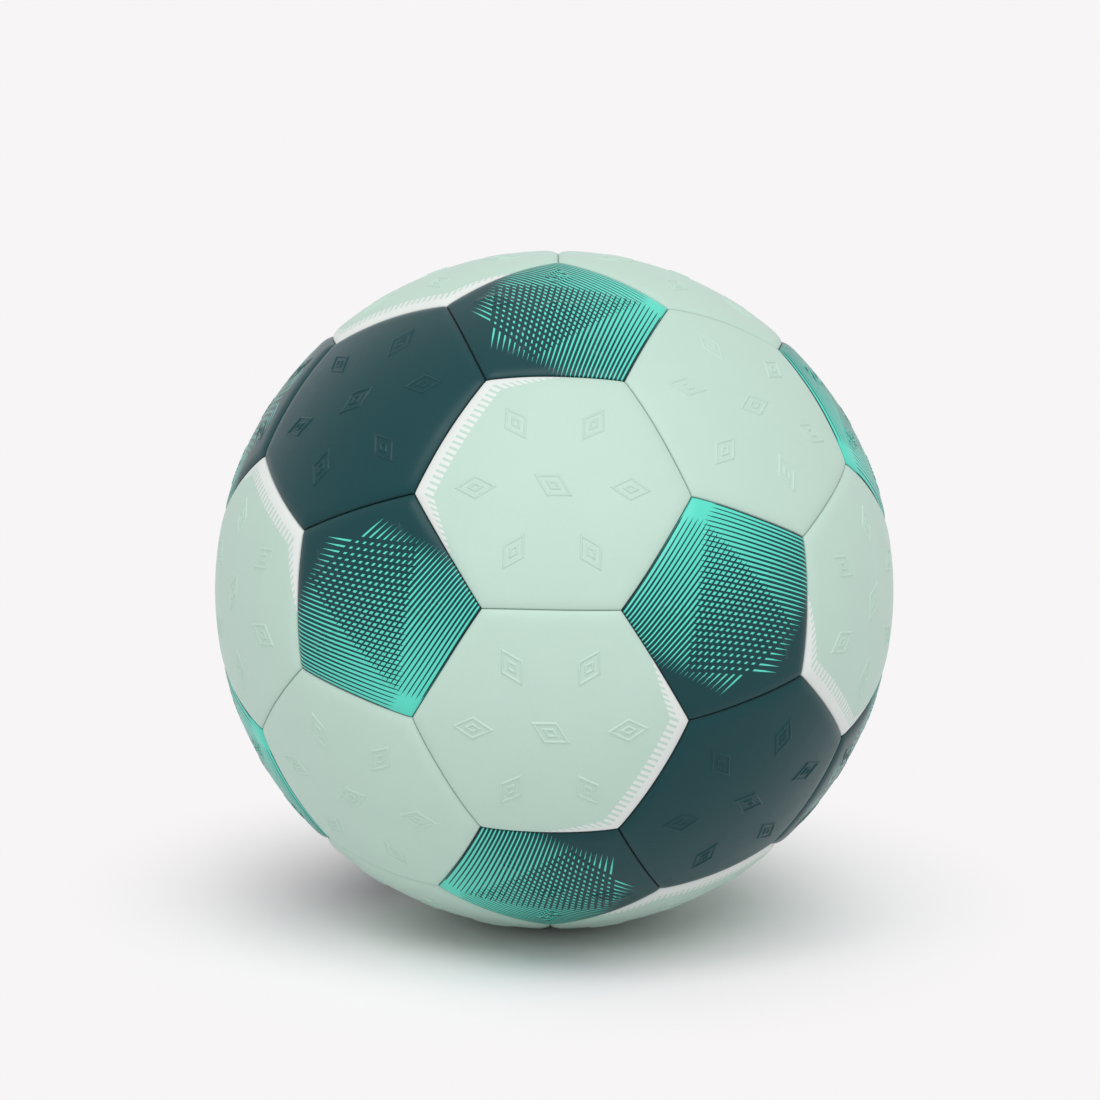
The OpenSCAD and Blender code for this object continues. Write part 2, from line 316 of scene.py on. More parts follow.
class CoverForm:
    """Makes the mesh of one shape of cover, in the panel's own frame.

    The outline, its rings, the lozenges and the mesh between them are laid out flat, on the
    plane that touches the crown, where every seam is a straight line. Then the layout is domed
    onto the ball, its edge is turned in along the seams, and the skin gets its thickness.
    """

    def __init__(self, sides: int, corner_angle: float, sizes: CoverSizes,
                 lozenge: LozengeSizes, hole: ValveHoleSizes | None = None) -> None:
        """Keeps the sizes.

        Args:
            sides: Number of the panel's sides.
            corner_angle: Angle from the panel's axis to its corners.
            sizes: Sizes of the cover.
            lozenge: Sizes of the embossed lozenges.
            hole: Sizes of the valve's hole, for the panel that has one.
        """
        self.sides = sides
        self.corner_angle = corner_angle
        self.edge_angle = math.atan(math.tan(corner_angle) * math.cos(math.pi / sides))
        self.sizes = sizes
        self.lozenge = lozenge
        self.hole = hole
        self.bm = bmesh.new()
        self.relief = self.bm.verts.layers.float.new("relief")
        self.between = self.bm.faces.layers.int.new("between")
        self.spare = self.bm.edges.layers.int.new("spare")
        self.print_place = self.bm.verts.layers.float_vector.new("print_place")
        self.seam_distance = self.bm.verts.layers.float.new("seam_distance")

    def _middles(self) -> list[float]:
        """Returns the directions of the sides' middles, the lead edge's first."""
        return [math.pi / 2 + k * math.tau / self.sides for k in range(self.sides)]

    def _seam_normal(self, middle: float) -> Vector:
        """Returns the inward normal of the plane of the seam whose middle is that way."""
        flat, rise = math.cos(self.edge_angle), math.sin(self.edge_angle)
        return Vector((-flat * math.cos(middle), -flat * math.sin(middle), rise))

    def _distances(self, way: Vector) -> list[float]:
        """Returns a direction's distances from the seams, in the order of the sides."""
        return [self.sizes.crown * math.asin(way.dot(self._seam_normal(middle)))
                for middle in self._middles()]

    def _flat_share(self, distance: float) -> float:
        """Returns the share of the flat outline that lies at a distance inside the seams."""
        inner = math.tan(self.edge_angle - distance / self.sizes.crown)
        return inner / math.tan(self.edge_angle)

    def _new_face(self, parts: int, **circle: Any) -> BMFace:
        """Adds one flat face.

        Args:
            parts: Number of mesh edges that each of its sides is cut into.
            **circle: What create_circle takes.

        Returns:
            The face.
        """
        made = bmesh.ops.create_circle(self.bm, cap_ends=True, **circle)
        face = made["verts"][0].link_faces[0]
        if parts > 1:
            cut = bmesh.ops.subdivide_edges(self.bm, edges=list(face.edges), cuts=parts - 1)
            inner = next(e for e in cut["geom_inner"] if isinstance(e, BMVert))
            face = inner.link_faces[0]
        return face

    def _nest(self, face: BMFace, rings: Iterable[tuple[float, float]],
              centre: Vector = Vector()) -> None:
        """Adds rings inside a face's outline, and draws the face in with them.

        Args:
            face: The face.
            rings: For each ring, what is left of the outline's size, and the ring's height.
            centre: The point that the rings are drawn towards.
        """
        last = 1.0
        for share, height in rings:
            bmesh.ops.inset_region(self.bm, faces=[face], thickness=0.0, use_boundary=True)
            for vert in face.verts:
                vert.co = centre + (vert.co - centre) * (share / last)
                vert[self.relief] = height
            last = share

    def _outer_edges(self, had: set[BMFace]) -> list[BMEdge]:
        """Returns the outer edges of the faces made since then."""
        made = [face for face in self.bm.faces if face not in had]
        edges = dict.fromkeys(edge for face in made for edge in face.edges)
        return [edge for edge in edges if edge.is_boundary]

    def _lay_shoulder(self) -> list[BMEdge]:
        """Lays the panel's outline and the rings of its shoulder.

        Returns:
            The innermost ring's edges.
        """
        sizes = self.sizes
        outline = self._flat_share(sizes.seam_gap / 2)
        radius = outline * sizes.crown * math.tan(self.corner_angle)
        turn = Matrix.Rotation(math.pi / self.sides, 4, "Z")
        face = self._new_face(sizes.side_parts, segments=self.sides, radius=radius, matrix=turn)
        rings = []
        for step in range(1, sizes.rings + 1):
            inset = sizes.shoulder_width * (step / sizes.rings) ** sizes.ring_power
            rings.append((self._flat_share(sizes.seam_gap / 2 + inset) / outline, 0.0))
        self._nest(face, rings)
        inner = list(face.edges)
        bmesh.ops.delete(self.bm, geom=[face], context="FACES_ONLY")
        return inner

    def _lay_lozenge(self, centre: Vector, way: float) -> list[BMEdge]:
        """Lays one embossed lozenge.

        Args:
            centre: Its centre.
            way: The direction of its longer diagonal.

        Returns:
            Its outer edges.
        """
        sizes = self.lozenge
        had = set(self.bm.faces)
        stretch = Matrix.Diagonal((sizes.half_length, sizes.half_width, 1, 1))
        place = Matrix.Translation(centre) @ Matrix.Rotation(way, 4, "Z") @ stretch
        face = self._new_face(sizes.side_parts, segments=4, radius=1, matrix=place)
        self._nest(face, sizes.rings(), centre)
        return self._outer_edges(had)

    def _lay_hole(self) -> list[BMEdge]:
        """Lays the rounded rim of the valve's hole, and opens the hole.

        Returns:
            The rim's outer edges.
        """
        sizes = self.hole
        had = set(self.bm.faces)
        outer = sizes.radius + sizes.rim
        face = self._new_face(1, segments=sizes.parts, radius=outer)
        turns = [math.pi / 2 * step / sizes.rim_steps for step in range(1, sizes.rim_steps + 1)]
        self._nest(face, [(1 - sizes.rim * math.sin(turn) / outer,
                           -sizes.rim * (1 - math.cos(turn))) for turn in turns])
        edges = self._outer_edges(had)
        bmesh.ops.delete(self.bm, geom=[face], context="FACES_ONLY")
        return edges

    def _lay_crown(self, loops: list[BMEdge]) -> None:
        """Fills the space between the shoulder and what lies on the crown with a square mesh.

        Args:
            loops: The edges that bound the space.
        """
        bounds = set(loops)
        filled = bmesh.ops.triangle_fill(self.bm, use_beauty=True, edges=loops, normal=(0, 0, 1))
        for part in filled["geom"]:
            if isinstance(part, BMFace):
                part[self.between] = 1
                for edge in part.edges:
                    edge[self.spare] = int(edge not in bounds)
        sizes = self.sizes
        reach = math.ceil(sizes.crown * math.tan(self.corner_angle) / sizes.grid_pitch)
        for normal in (Vector((1, 0, 0)), Vector((0, 1, 0))):
            for line in range(-reach, reach + 1):
                faces = [face for face in self.bm.faces if face[self.between]]
                edges = dict.fromkeys(edge for face in faces for edge in face.edges)
                verts = dict.fromkeys(vert for face in faces for vert in face.verts)
                place = normal * (line * sizes.grid_pitch + sizes.grid_offset)
                bmesh.ops.bisect_plane(self.bm, geom=[*faces, *edges, *verts],
                                       dist=sizes.cut_reach, plane_co=place, plane_no=normal)
        spare = [edge for edge in self.bm.edges if edge[self.spare]]
        bmesh.ops.dissolve_edges(self.bm, edges=spare, use_verts=True)
        bmesh.ops.recalc_face_normals(self.bm, faces=list(self.bm.faces))

    def _place_of_print(self, way: Vector, distances: list[float]) -> Vector:
        """Returns what the printed patterns are drawn by.

        Args:
            way: Unit vector from the ball's centre.
            distances: Its distances from the seams.

        Returns:
            On a pentagon, the distances from the two seams that meet opposite the lead edge. On
            a hexagon, the place along the lead edge, the distance from that edge, and the
            distance from the nearer of the two edges beside it.
        """
        if self.sides == 5:
            return Vector((distances[2], distances[3], 0))
        along = self.sizes.crown * math.asin(way.x)
        return Vector((along, distances[0], min(distances[1], distances[-1])))

    def _dome(self) -> None:
        """Lifts the flat layout onto the ball, and notes where the print lies."""
        sizes = self.sizes
        for vert in self.bm.verts:
            way = Vector((vert.co.x, vert.co.y, sizes.crown)).normalized()
            distances = self._distances(way)
            radius = sizes.crown - sizes.falls_together(distances) + vert[self.relief]
            vert[self.print_place] = self._place_of_print(way, distances)
            vert[self.seam_distance] = min(distances)
            vert.co = way * radius

    def _turn_in(self) -> None:
        """Turns the edge in along the seams, down to the hem."""
        hole_reach = 2 * self.hole.radius if self.hole else 0.0
        rim = [edge for edge in self.bm.edges
               if edge.is_boundary and edge.verts[0].co.xy.length > hole_reach]
        grown = bmesh.ops.extrude_edge_only(self.bm, edges=rim)
        for part in grown["geom"]:
            if isinstance(part, BMVert):
                part.co = part.co.normalized() * self.sizes.hem_radius

    def _thicken(self) -> None:
        """Gives the skin its thickness, and its inner side the second material.

        The inner side lies on the round foam, except where the shoulder falls below that.
        """
        sizes = self.sizes
        outer = list(self.bm.faces)
        bmesh.ops.recalc_face_normals(self.bm, faces=outer)
        had = set(self.bm.verts)
        grown = bmesh.ops.solidify(self.bm, geom=outer, thickness=sizes.skin)
        for part in grown["geom"]:
            if isinstance(part, BMFace):
                part.material_index = 1
        for vert in self.bm.verts:
            if vert not in had and vert.co.length > sizes.crown - sizes.inner_reach:
                way = vert.co.normalized()
                fall = sizes.falls_together(self._distances(way)) + sizes.thinnest
                vert.co = way * (sizes.crown - max(sizes.skin, fall))

    def _finish_mesh(self) -> None:
        """Cuts wide faces into triangles and sets what is shaded smooth."""
        wide = [face for face in self.bm.faces if len(face.verts) > 4]
        bmesh.ops.triangulate(self.bm, faces=wide)
        for face in self.bm.faces:
            face.smooth = True
        for edge in self.bm.edges:
            edge.smooth = edge.calc_face_angle(0.0) < self.sizes.sharp_from

    def build(self) -> bpy.types.Mesh:
        """Builds the cover.

        Returns:
            Its mesh, with the panel's axis along +Z and its lead edge towards +Y.
        """
        loops = self._lay_shoulder()
        for middle in self._middles():
            way = middle + math.pi / self.sides
            centre = self.lozenge.ring * Vector((math.cos(way), math.sin(way), 0))
            loops += self._lay_lozenge(centre, way)
        loops += self._lay_hole() if self.hole else self._lay_lozenge(Vector(), math.pi / 2)
        self._lay_crown(loops)
        self._dome()
        self._turn_in()
        self._thicken()
        self._finish_mesh()
        mesh = bpy.data.meshes.new("cover")
        self.bm.to_mesh(mesh)
        self.bm.free()
        return mesh


@dataclass(frozen=True)
class HandWork:
    """The unevenness of a ball that is cut and sewn by hand.

    Attributes:
        shift: How far a seam strays along the surface.
        swell: How far a crown strays from round.
        wavelength: Length of these waves.
        deep: Radius below which nothing strays, so that the edges keep clear of the thread.
        full: Radius above which all of it shows.
        seed: Fixes the waves, which would otherwise differ from run to run.
    """

    shift: float = 0.3 * MM
    swell: float = 0.05 * MM
    wavelength: float = 24 * MM
    deep: float = 84 * MM
    full: float = 86.2 * MM
    seed: int = 3

    def __post_init__(self) -> None:
        """Fixes the waves."""
        noise.seed_set(self.seed)

    def moved(self, place: Vector) -> Vector:
        """Returns where a point of the even ball lies on the sewn one."""
        radius = place.length
        share = min(1.0, max(0.0, (radius - self.deep) / (self.full - self.deep)))
        if not share:
            return place
        way = place / radius
        stray = noise.noise_vector(place / self.wavelength)
        along = stray - way * stray.dot(way)
        swell = self.swell * (noise.noise(place / self.wavelength) - 1)
        return (place + along * (self.shift * share)).normalized() * (radius + swell * share)


def math_node(operation: str, reflected: bool = False) -> Callable[..., "Shade"]:
    """Makes a method of Shade.

    Args:
        operation: The Math node that it adds.
        reflected: Whether the other number comes first.

    Returns:
        The method, which takes the node's other inputs and returns its output.
    """
    def method(shade: "Shade", *others: Operand) -> "Shade":
        """Adds the Math node."""
        made = shade.tree.nodes.new("ShaderNodeMath")
        made.operation = operation
        for socket, value in zip(made.inputs, (*others, shade) if reflected else (shade, *others)):
            feed(shade.tree, socket, value)
        return Shade(shade.tree, made.outputs[0])

    return method


@dataclass(frozen=True, eq=False)
class Shade:
    """A number that changes over a surface, with Python's operators as Math nodes.

    Attributes:
        tree: The material's nodes.
        socket: The output of one of them.
    """

    tree: bpy.types.NodeTree
    socket: bpy.types.NodeSocket

    __add__ = __radd__ = math_node("ADD")
    __sub__ = math_node("SUBTRACT")
    __rsub__ = math_node("SUBTRACT", reflected=True)
    __mul__ = __rmul__ = math_node("MULTIPLY")
    __truediv__ = math_node("DIVIDE")
    __pow__ = math_node("POWER")
    __abs__ = math_node("ABSOLUTE")
    __lt__ = math_node("LESS_THAN")
    __gt__ = math_node("GREATER_THAN")
    fraction = math_node("FRACT")
    least = math_node("MINIMUM")
    most = math_node("MAXIMUM")

    def within(self) -> "Shade":
        """Returns the number held between 0 and 1."""
        return self.most(0.0).least(1.0)


def feed(tree: bpy.types.NodeTree, socket: bpy.types.NodeSocket, value: Any) -> None:
    """Links a socket to a Shade, or sets it to a plain value.

    Args:
        tree: The material's nodes.
        socket: The input.
        value: A Shade, a number, a vector or a colour.
    """
    if isinstance(value, Shade):
        tree.links.new(value.socket, socket)
    elif isinstance(value, (int, float)):
        socket.default_value = value
    else:
        length = len(socket.default_value)
        socket.default_value = (*value, 1.0)[:length]


class Nodes:
    """The nodes of one material or world, round its shader."""

    def __init__(self, owner: bpy.types.Material | bpy.types.World,
                 shader: str = "Principled BSDF", output: str = "Material Output") -> None:
        """Starts the nodes.

        Args:
            owner: What they belong to.
            shader: Name of the shader that it starts with.
            output: Name of its output node.
        """
        owner.use_nodes = True
        self.tree = owner.node_tree
        self.shader = self.tree.nodes[shader]
        self.output = self.tree.nodes[output]

    def set(self, **values: Any) -> None:
        """Sets or links the shader's sockets, named with underscores for spaces."""
        for name, value in values.items():
            feed(self.tree, self.shader.inputs[name.replace("_", " ")], value)

    def node(self, kind: str, settings: dict[str, Any] | None = None,
             inputs: dict[str | int, Any] | None = None, output: str | int = 0) -> Shade:
        """Adds any node.

        Args:
            kind: Its type, without the leading ShaderNode.
            settings: Its own settings, set first.
            inputs: Values or links of its sockets, by name or number.
            output: The output that is wanted.

        Returns:
            That output.
        """
        made = self.tree.nodes.new("ShaderNode" + kind)
        for name, value in (settings or {}).items():
            setattr(made, name, value)
        for name, value in (inputs or {}).items():
            feed(self.tree, made.inputs[name], value)
        return Shade(self.tree, made.outputs[output])

    def show(self, kind: str, colour: Colour, share: Operand) -> None:
        """Shows a plain colour to the eye, also in a mirror or through glass, but not to light.

        Args:
            kind: The type of node that gives the colour.
            colour: The colour.
            share: How much of it is seen.
        """
        camera, mirror, glass = (self.node("LightPath", output=f"Is {ray} Ray")
                                 for ray in ("Camera", "Glossy", "Transmission"))
        shown = self.node("MixShader", inputs={
            0: camera.most(mirror).most(glass) * share,
            1: Shade(self.tree, self.shader.outputs[0]),
            2: self.node(kind, inputs={"Color": colour, "Strength": 1.0})})
        feed(self.tree, self.output.inputs["Surface"], shown)

    def place(self) -> Shade:
        """Returns the object's coordinates."""
        return self.node("TexCoord", output="Object")

    def attribute(self, name: str, output: str = "Fac") -> Shade:
        """Returns an attribute of the mesh."""
        return self.node("Attribute", {"attribute_name": name}, output=output)

    def parts(self, vector: Shade) -> list[Shade]:
        """Returns the three parts of a vector."""
        return [self.node("SeparateXYZ", inputs={0: vector}, output=axis) for axis in range(3)]

    def noise(self, size: float, detail: float = 3.0) -> Shade:
        """Returns soft noise from 0 to 1 with waves of about that size."""
        inputs = {"Vector": self.place(), "Scale": 1 / size, "Detail": detail}
        return self.node("TexNoise", inputs=inputs, output="Fac")

    def mix(self, share: Operand, first: Any, second: Any, blend: str = "MIX") -> Shade:
        """Returns the first colour where the share is 0, and the second, or their blend, at 1."""
        return self.node("Mix", {"data_type": "RGBA", "blend_type": blend},
                         {0: share, 6: first, 7: second}, output=2)

    def cells(self, size: float, feature: str = "F1", **inputs: float) -> Shade:
        """Returns the distance from the middle of the nearest cell of about that size."""
        placed = {"Vector": self.place(), "Scale": 1 / size, **inputs}
        return self.node("TexVoronoi", {"feature": feature}, placed, output="Distance")

    def bump(self, height: Shade, depth: float, under: Shade | None = None) -> Shade:
        """Returns the normal of a relief of that depth, over another one if there is one."""
        inputs = {"Strength": 1.0, "Distance": depth, "Height": height}
        if under:
            inputs["Normal"] = under
        return self.node("Bump", inputs=inputs)


@dataclass(frozen=True)
class Finish:
    """A material.

    Attributes:
        name: Its name.
        colour: Its colour.
    """

    name: str
    colour: Colour

    def shaded(self, share: float, white: float = 0.0) -> Colour:
        """Returns a share of the colour, with some white added."""
        return tuple(share * part + white for part in self.colour)

    def dress(self, surface: Nodes) -> None:
        """Sets the look of the material's surface."""
        raise NotImplementedError

    def build(self) -> bpy.types.Material:
        """Builds the material.

        Returns:
            The material.
        """
        material = bpy.data.materials.new(self.name)
        self.dress(Nodes(material))
        return material


@dataclass(frozen=True)
class CoverFinish(Finish):
    """Synthetic leather with a satin skin, a very fine grain and painted shade in the seams.

    Attributes:
        painted_seam_shade: What is left of the colour down in the seam, as a painted shade of the
            groove.
        seam_reach: Distance from a seam at which the painted shade ends and all the colour is left.
        roughness: How rough the skin is.
        roughness_change: How much that varies.
        roughness_size: Size of the places that differ in it.
        specular: How strongly the skin mirrors.
        grain: Size of the grain's cells.
        grain_depth: Depth of the grain.
        grain_softness: How rounded its cells are.
        ripple: Size of the skin's slow unevenness.
        ripple_depth: Depth of that.
        mottle: How much the colour varies.
        mottle_size: Size of the places that differ in it.
        sheen: How pale the skin turns where it is seen at a low angle.
        sheen_roughness: How widely that spreads.
    """

    painted_seam_shade: float = 0.75
    seam_reach: float = 0.3 * MM
    roughness: float = 0.5
    roughness_change: float = 0.1
    roughness_size: float = 5 * MM
    specular: float = 0.2
    grain: float = 0.42 * MM
    grain_depth: float = 0.02 * MM
    grain_softness: float = 0.6
    ripple: float = 3.5 * MM
    ripple_depth: float = 0.035 * MM
    mottle: float = 0.05
    mottle_size: float = 14 * MM
    sheen: float = 0.06
    sheen_roughness: float = 0.35

    def printed(self, surface: Nodes) -> Shade | Colour:
        """Returns the colour of the skin and of what is printed on it."""
        return self.colour

    def dress(self, surface: Nodes) -> None:
        """Sets the look of the skin, with painted shade down in the seams."""
        # Random mottle of the colour, times a painted shade that darkens the skin towards each
        # seam's groove.
        depth = (surface.attribute("seam_distance") / self.seam_reach).within()
        shade = 1 - self.mottle * surface.noise(self.mottle_size)
        shade *= self.painted_seam_shade + (1 - self.painted_seam_shade) * depth
        tint = surface.node("CombineColor", inputs={0: shade, 1: shade, 2: shade})
        skin = surface.mix(1.0, self.printed(surface), tint, blend="MULTIPLY")
        cells = surface.cells(self.grain, "SMOOTH_F1", Smoothness=self.grain_softness)
        ripple = surface.bump(surface.noise(self.ripple), self.ripple_depth)
        change = self.roughness_change * (surface.noise(self.roughness_size, detail=4.0) - 0.5)
        surface.set(Base_Color=skin, Roughness=self.roughness + change,
                    Specular_IOR_Level=self.specular, Sheen_Weight=self.sheen,
                    Sheen_Roughness=self.sheen_roughness,
                    Normal=surface.bump(cells, self.grain_depth, under=ripple))


@dataclass(frozen=True)
class BandedFinish(CoverFinish):
    """A pale cover with a white band along its lead edge, which ends in fine teeth.

    Attributes:
        ink: Colour of the band.
        solid: Width of the band where it is solid.
        toothed: Width up to the teeth's tips.
        pitch: Distance from one tooth to the next.
        tooth_share: Share of the pitch that a tooth fills.
        half_side: Half the length of a side.
        taper: Length along the next sides over which the band runs out.
        crowding: How much closer the teeth stand there.
        least: Share of the band's width that is left at least, where it has run out.
    """

    ink: Colour = srgb(225, 230, 227)
    solid: float = 2.95 * MM
    toothed: float = 5.65 * MM
    pitch: float = 1.68 * MM
    tooth_share: float = 0.58
    half_side: float = 17.6 * MM
    taper: float = 21.5 * MM
    crowding: float = 0.4
    least: float = 0.001

    def printed(self, surface: Nodes) -> Shade:
        """Returns the pale skin with its white band."""
        along, inward, beside = surface.parts(surface.attribute("print_place", "Vector"))
        past = (abs(along) - self.half_side).most(0.0)
        from_corner = (past * past + inward * inward) ** 0.5
        left = (1 - from_corner / self.taper).most(self.least)
        reach = inward.least(beside / left)
        count = (abs(along) + self.crowding * past) / self.pitch
        tooth = abs(count.fraction() - 0.5) < self.tooth_share / 2
        white = (reach < self.solid).most(tooth * (reach < self.toothed))
        return surface.mix(white, self.colour, self.ink)


@dataclass(frozen=True)
class CrossedLineFinish(CoverFinish):
    """A dark cover with two families of bright stripes, which cross and thin out.

    The stripes of a family lie along one of the two seams opposite the lead edge. They start
    side by side where these seams meet, and dark lines part them further on.

    Attributes:
        ink: Colour of the stripes.
        pitch: Distance from one stripe to the next beside the seam.
        widening: Distance over which the pitch doubles.
        meeting: Distance along the seam at which the stripes would meet.
        first: Share of a pitch by which the first stripe is cut short by the seam.
        last: Number of stripes in a family.
        start: Distance from the other seam at which the dark lines start.
        lag: How much further on they start for each step away from their own seam.
        lag_from: Distance from their own seam at which that begins.
        line_share: Share of the pitch that a dark line fills where it starts.
        line_growth: How much that share grows for each metre.
        onset: Length over which a dark line reaches that share.
        tip: Distance from the other seam at which the first stripe has run out.
        tip_growth: How much further on the stripes run out for each step away from their seam.
        taper: Length over which they run out.
    """

    ink: Colour = srgb(92, 217, 196)
    pitch: float = 1.25 * MM
    widening: float = 200 * MM
    meeting: float = 165 * MM
    first: float = 0.3
    last: int = 30
    start: float = 5.3 * MM
    lag: float = 0.45
    lag_from: float = 6 * MM
    line_share: float = 0.215
    line_growth: float = 13.8
    onset: float = 1.8 * MM
    tip: float = 43.2 * MM
    tip_growth: float = 0.1
    taper: float = 4 * MM

    def _count(self, across: Shade, along: Shade) -> Shade:
        """Returns the number of stripes between a place and the family's own seam."""
        level = across / (1 - along / self.meeting)
        return level / self.pitch * (1 - level / self.widening) - self.first

    def _dark_line(self, across: Shade, along: Shade) -> Shade:
        """Returns 1 on the dark lines of a family.

        Args:
            across: Distance from the family's own seam.
            along: Distance from the other seam.
        """
        count = self._count(across, along)
        start = self.start + self.lag * (across - self.lag_from).most(0.0)
        grown = self.line_share + self.line_growth * (along - self.start)
        left = ((self.tip + self.tip_growth * across - along) / self.taper).within()
        share = (1 - (1 - grown) * left) * ((along - start) / self.onset).within()
        near = 2 * abs((count + 0.5).fraction() - 0.5) < share
        return near * (count < self.last + 0.5)

    def printed(self, surface: Nodes) -> Shade:
        """Returns the dark skin with its bright stripes."""
        first, second, _ = surface.parts(surface.attribute("print_place", "Vector"))
        past = (self._count(first, second) > self.last) * (self._count(second, first) > self.last)
        dark = self._dark_line(first, second).most(self._dark_line(second, first)).most(past)
        return surface.mix(dark, self.ink, self.colour)


@dataclass(frozen=True)
class FoamFinish(Finish):
    """Closed-cell foam.

    Attributes:
        cell: Size of its cells.
        cell_depth: Depth of the cells.
        cell_shade: What is left of the colour between them.
        roughness: How rough it is.
    """

    cell: float = 0.5 * MM
    cell_depth: float = 0.15 * MM
    cell_shade: float = 0.8
    roughness: float = 0.85

    def dress(self, surface: Nodes) -> None:
        """Sets the look of the foam."""
        cells = surface.cells(self.cell)
        surface.set(Base_Color=surface.mix(cells, self.colour, self.shaded(self.cell_shade)),
                    Roughness=self.roughness, Normal=surface.bump(cells, self.cell_depth))


@dataclass(frozen=True)
class WovenFinish(Finish):
    """Woven cloth, or the plies of a thread, with painted shade between the yarns.

    Attributes:
        pitch: Distance from one yarn to the next.
        depth: Depth between the yarns.
        shade: What is left of the colour there, as a painted shade in the dips.
        roughness: How rough it is.
    """

    pitch: float = 0.55 * MM
    depth: float = 0.1 * MM
    shade: float = 0.7
    roughness: float = 0.8

    def dress(self, surface: Nodes) -> None:
        """Sets the look of the weave, with painted shade where the yarns dip."""
        across, along, up = surface.parts(surface.place())
        warp = abs(((across + up) / self.pitch).fraction() - 0.5)
        weft = abs(((along - up) / self.pitch).fraction() - 0.5)
        weave = warp.most(weft) * 2
        # The colour is darkened where the weave is lowest, a painted shade between the yarns.
        surface.set(Base_Color=surface.mix(weave, self.shaded(self.shade), self.colour),
                    Roughness=self.roughness, Normal=surface.bump(weave, self.depth))


@dataclass(frozen=True)
class RubberFinish(Finish):
    """Moulded rubber with a dusty bloom.

    Attributes:
        roughness: How rough it is.
        bloom: How much of the pale bloom covers it.
        bloom_size: Size of the bloom's clouds.
        bloom_roughness: How much rougher it is under the bloom.
        bloom_shade: What is left of the colour there.
        bloom_white: White that is added there.
        grain: Size of the moulded grain.
        grain_depth: Depth of that.
    """

    roughness: float = 0.6
    bloom: float = 0.25
    bloom_size: float = 6 * MM
    bloom_roughness: float = 0.2
    bloom_shade: float = 0.4
    bloom_white: float = 0.12
    grain: float = 0.3 * MM
    grain_depth: float = 0.01 * MM

    def dress(self, surface: Nodes) -> None:
        """Sets the look of the rubber."""
        dust = surface.noise(self.bloom_size, detail=4.0) * self.bloom
        pale = self.shaded(self.bloom_shade, self.bloom_white)
        surface.set(Base_Color=surface.mix(dust, self.colour, pale),
                    Roughness=self.roughness + self.bloom_roughness * dust,
                    Normal=surface.bump(surface.noise(self.grain), self.grain_depth))


def new_object(name: str, data: bpy.types.ID) -> bpy.types.Object:
    """Makes an object in the scene.

    Args:
        name: Its name.
        data: Its mesh, camera or lamp.

    Returns:
        The object.
    """
    made = bpy.data.objects.new(name, data)
    bpy.context.scene.collection.objects.link(made)
    return made


class Covers:
    """The 32 covers."""

    def __init__(self, layout: PanelLayout) -> None:
        """Reads the covers' sizes from the frame.

        Args:
            layout: Where the panels lie.
        """
        self.layout = layout
        radii = [vert.co.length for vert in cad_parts["pentagon_1"].data.vertices]
        clearance = 0.25 * MM
        self.sizes = CoverSizes(crown=max(radii) - clearance, hem_radius=min(radii))
        self.hand_work = HandWork()
        mint = srgb(190, 215, 203)
        dark = srgb(14, 63, 67)
        # painted_seam_shade and seam_reach give each kind's painted shade in the seams.
        self.finishes = {
            PanelKind.PLAIN: CoverFinish("mint_cover", mint),
            PanelKind.DARK: CoverFinish("dark_cover", dark, painted_seam_shade=0.35,
                                        seam_reach=0.6 * MM, roughness=0.36),
            PanelKind.BANDED: BandedFinish("banded_cover", mint),
            PanelKind.PENTAGON: CrossedLineFinish("printed_cover", dark, painted_seam_shade=0.2,
                                                  seam_reach=0.4 * MM, roughness=0.36),
        }

    def _valve_node(self, panels: list[Panel]) -> str:
        """Returns the node of the panel that the valve comes out of."""
        low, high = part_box("valve_boot")
        way = (low + high) / 2
        return max(panels, key=lambda panel: panel.axis.dot(way)).node

    def build(self) -> None:
        """Builds, places and dresses every cover."""
        panels = self.layout.panels()
        valve_node = self._valve_node(panels)
        backing = WovenFinish("cover_backing", srgb(228, 228, 222)).build()
        materials = {kind: finish.build() for kind, finish in self.finishes.items()}
        lozenges = {5: LozengeSizes(ring=17 * MM, ridge_height=0.16 * MM),
                    6: LozengeSizes(ring=20 * MM, ridge_height=0.27 * MM)}
        forms: dict[tuple[int, bool], bpy.types.Mesh] = {}
        for panel in panels:
            sides = 5 if panel.kind is PanelKind.PENTAGON else 6
            holed = panel.node == valve_node
            if (sides, holed) not in forms:
                angle = self.layout.corner_angle(panel.kind)
                hole = ValveHoleSizes() if holed else None
                form = CoverForm(sides, angle, self.sizes, lozenges[sides], hole)
                forms[sides, holed] = form.build()
            mesh = forms[sides, holed].copy()
            mesh.transform(panel.placement())
            for vert in mesh.vertices:
                vert.co = self.hand_work.moved(vert.co)
            mesh.materials.append(materials[panel.kind])
            mesh.materials.append(backing)
            piece = new_object(panel.node + "_cover", mesh)
            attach(piece, "root")
            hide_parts(panel.node)
            LOG.info("%s: %d faces", piece.name, len(mesh.polygons))
        for mesh in forms.values():
            bpy.data.meshes.remove(mesh)


